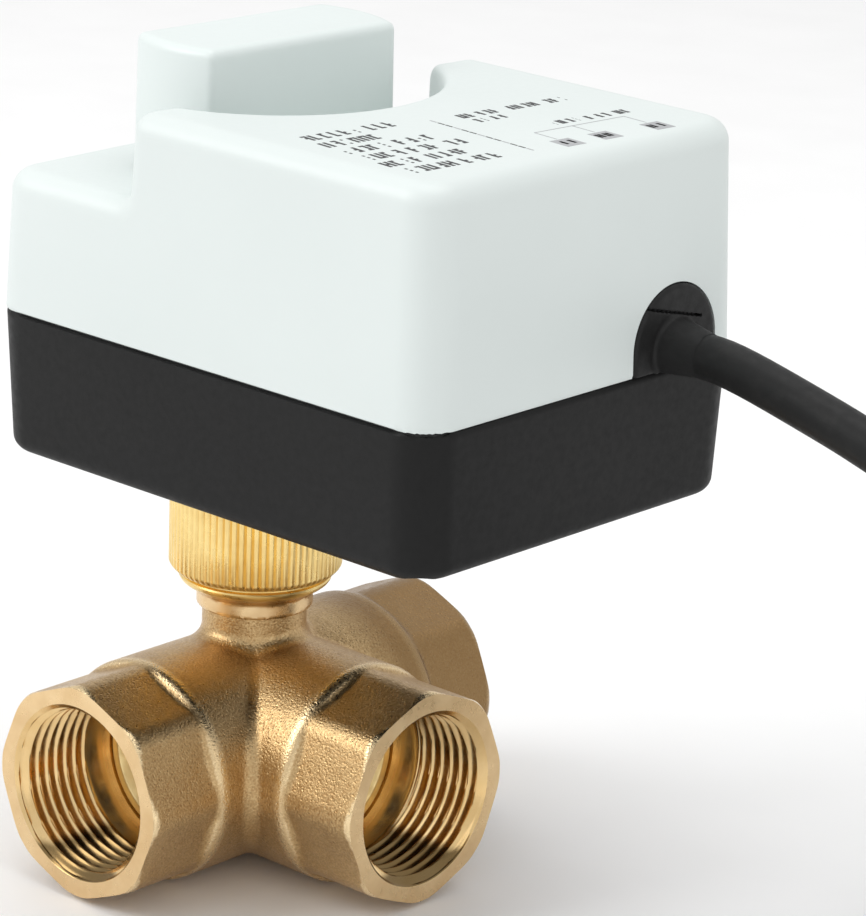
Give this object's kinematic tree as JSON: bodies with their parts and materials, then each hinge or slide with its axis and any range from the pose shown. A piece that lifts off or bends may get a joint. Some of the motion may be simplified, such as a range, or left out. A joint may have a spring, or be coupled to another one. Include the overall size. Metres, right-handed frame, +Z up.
{
  "type": "zone valve",
  "caption": "Motorised three-way zone valve: brass ball valve with threaded ports under a geared actuator with a manual knob and a coiled lead.",
  "frame": {"origin": "middle of the bounding box without the free cable, at the height of the ports' lowest edges, which the part stands on", "axes": "+Z up along the stem towards the knob; +X from the stem towards the branch port and the cable outlet; Y along the straight run between the other two ports"},
  "size_m": [0.2379, 0.1588, 0.1571],
  "materials": {
    "forged_brass": "sand-blasted forging with machined port faces",
    "turned_brass": "machined",
    "nut_brass": "machined, straight knurl",
    "ptfe": "waxy",
    "ball_chrome": "polished",
    "black_rubber": "matte",
    "zinc": "die cast",
    "base_plastic": "fine satin moulding",
    "cover_plastic": "fine satin moulding",
    "knob_plastic": "fine satin moulding",
    "screw_steel": "zinc plated",
    "shaft_steel": "turned",
    "plate_steel": "zinc plated sheet",
    "spring_steel": "bright strip",
    "motor_can": "drawn can",
    "gear_plastic": "moulded",
    "cam_plastic": "moulded",
    "switch_plastic": "moulded",
    "board_green": "solder mask",
    "capacitor_plastic": "moulded",
    "relay_plastic": "moulded",
    "gland_rubber": "matte",
    "cable_jacket": "satin jacket",
    "core_insulation": "extruded",
    "tinned_metal": "tinned"
  },
  "bodies": {
    "housing": {"valve_body": "forged_brass", "seat_retainers": "turned_brass", "seat_rings": "ptfe", "thrust_washer": "ptfe", "mounting_sleeve": "zinc", "base_shell": "base_plastic", "cover_shell": "cover_plastic", "cover_gasket": "black_rubber", "cover_screws": "screw_steel", "shaft_seal": "black_rubber", "idler_axle": "shaft_steel", "gear_plate": "plate_steel", "plate_pillars": "plate_steel", "motor": "motor_can", "motor_screws": "screw_steel", "open_switch": "switch_plastic", "closed_switch": "switch_plastic", "switch_screws": "screw_steel", "circuit_board": "board_green", "board_posts": "plate_steel", "board_screws": "screw_steel", "run_capacitor": "capacitor_plastic", "relay": "relay_plastic", "cable_gland": "gland_rubber", "cable_clamp": "switch_plastic", "clamp_screws": "screw_steel", "cable_tail": "cable_jacket", "inner_wires": "core_insulation", "cable": "cable_jacket", "cable_coil": "cable_jacket", "coil_tie": "cable_jacket", "core_wires": "core_insulation", "wire_ferrules": "tinned_metal"},
    "spindle": {"ball": "ball_chrome", "stem": "turned_brass", "stem_orings": "black_rubber", "output_shaft": "shaft_steel", "output_gear": "gear_plastic", "open_cam": "cam_plastic", "closed_cam": "cam_plastic", "knob": "knob_plastic"},
    "idler": {"idler_gear": "gear_plastic"},
    "pinion": {"motor_pinion": "turned_brass"},
    "nut": {"coupling_nut": "nut_brass"},
    "open_switch_lever": {"open_lever": "spring_steel"},
    "closed_switch_lever": {"closed_lever": "spring_steel"}
  },
  "joints": [
    {"name": "spindle_turn", "type": "hinge", "parent": "housing", "child": "spindle", "pos_m": [-0.0294, 0, 0.12], "axis": [0, 0, 1], "range_deg": [0, 90]},
    {"name": "idler_turn", "type": "hinge", "parent": "housing", "child": "idler", "pos_m": [-0.0045, -0.02089, 0.09], "axis": [0, 0, 1], "range_deg": [-202.5, 0]},
    {"name": "pinion_turn", "type": "hinge", "parent": "housing", "child": "pinion", "pos_m": [0.01429, -0.01405, 0.097], "axis": [0, 0, 1], "range_deg": [0, 521]},
    {"name": "nut_turn", "type": "hinge", "parent": "housing", "child": "nut", "pos_m": [-0.0294, 0, 0.06], "axis": [0, 0, 1], "continuous": true},
    {"name": "open_lever_press", "type": "hinge", "parent": "housing", "child": "open_switch_lever", "pos_m": [-0.0359, 0.0129, 0.107], "axis": [0, 0, 1], "range_deg": [0, 2.5], "stiffness_Nm_per_rad": 0.02},
    {"name": "closed_lever_press", "type": "hinge", "parent": "housing", "child": "closed_switch_lever", "pos_m": [-0.0359, 0.0129, 0.1136], "axis": [0, 0, 1], "range_deg": [0, 2.5], "stiffness_Nm_per_rad": 0.02}
  ],
  "couplings": [
    {"joint": "idler_turn", "follows": "spindle_turn", "ratio": -2.25},
    {"joint": "pinion_turn", "follows": "spindle_turn", "ratio": 5.7857}
  ]
}
